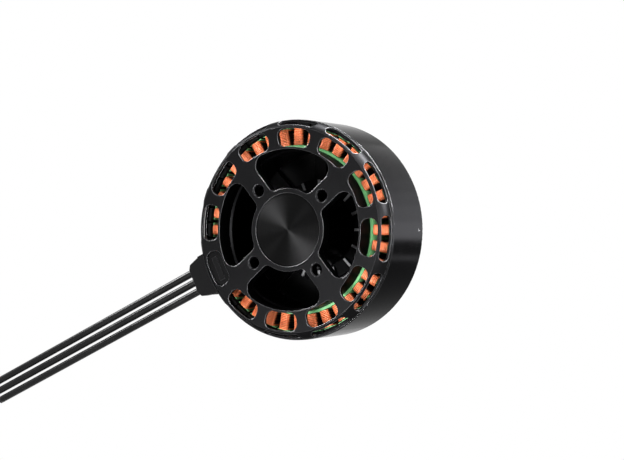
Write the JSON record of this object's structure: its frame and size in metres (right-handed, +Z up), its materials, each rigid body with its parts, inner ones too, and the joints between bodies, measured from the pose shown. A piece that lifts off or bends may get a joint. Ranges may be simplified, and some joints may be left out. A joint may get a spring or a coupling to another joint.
{
  "type": "brushless outrunner motor",
  "caption": "Flat outrunner brushless motor: slotted round base with bolt holes, wound stator inside, rotating bell with magnets, and straight leads out of a side gland.",
  "frame": {"origin": "centre of the bolt circle on the base's mounting face, on the shaft axis", "axes": "+Y along the shaft from the mounting face towards the bell and prop side, +Z up, with the leads hanging straight down"},
  "size_m": [0.086, 0.0362, 0.215],
  "materials": {
    "black_anodised": "satin black anodised",
    "turned_black": "black anodised with circular turning marks",
    "bell_black": "satin black on steel",
    "green_coating": "green epoxy coating on steel laminations",
    "copper": "enamelled copper wire",
    "bearing_steel": "ground steel",
    "spring_steel": "phosphated spring steel",
    "spacer_aluminium": "turned",
    "magnet_black": "black epoxy coating",
    "black_rubber": "matte moulded rubber",
    "lead_jacket": "glossy silicone",
    "tinned_wire": "tinned strands"
  },
  "bodies": {
    "stator": {"base_housing": "black_anodised", "bearing_tube": "black_anodised", "hub_disc": "turned_black", "stator_core": "green_coating", "front_insulator": "green_coating", "rear_insulator": "green_coating", "winding_a": "copper", "winding_b": "copper", "winding_c": "copper", "front_bearing_outer": "bearing_steel", "front_bearing_shields": "bearing_steel", "rear_bearing_outer": "bearing_steel", "rear_bearing_shields": "bearing_steel", "bearing_retaining_ring": "spring_steel", "cable_gland": "black_rubber", "gland_window_plate": "black_rubber", "lead_a": "lead_jacket", "lead_b": "lead_jacket", "lead_c": "lead_jacket", "lead_tip_a": "tinned_wire", "lead_tip_b": "tinned_wire", "lead_tip_c": "tinned_wire"},
    "rotor": {"flux_ring": "bell_black", "end_plate": "black_anodised", "rotor_magnets": "magnet_black", "bell_pins": "bearing_steel", "shaft": "bearing_steel", "shaft_circlip": "spring_steel", "bearing_spacer": "spacer_aluminium", "front_bearing_inner": "bearing_steel", "rear_bearing_inner": "bearing_steel"},
    "front_cage": {"front_bearing_balls": "bearing_steel"},
    "rear_cage": {"rear_bearing_balls": "bearing_steel"}
  },
  "joints": [
    {"name": "rotor_spin", "type": "hinge", "parent": "stator", "child": "rotor", "pos_m": [0, 0, 0], "axis": [0, 1, 0], "continuous": true},
    {"name": "front_cage_spin", "type": "hinge", "parent": "stator", "child": "front_cage", "pos_m": [0, 0.0072, 0], "axis": [0, 1, 0], "continuous": true},
    {"name": "rear_cage_spin", "type": "hinge", "parent": "stator", "child": "rear_cage", "pos_m": [0, 0.0203, 0], "axis": [0, 1, 0], "continuous": true}
  ],
  "couplings": [
    {"joint": "front_cage_spin", "follows": "rotor_spin", "ratio": 0.4074},
    {"joint": "rear_cage_spin", "follows": "rotor_spin", "ratio": 0.4074}
  ]
}
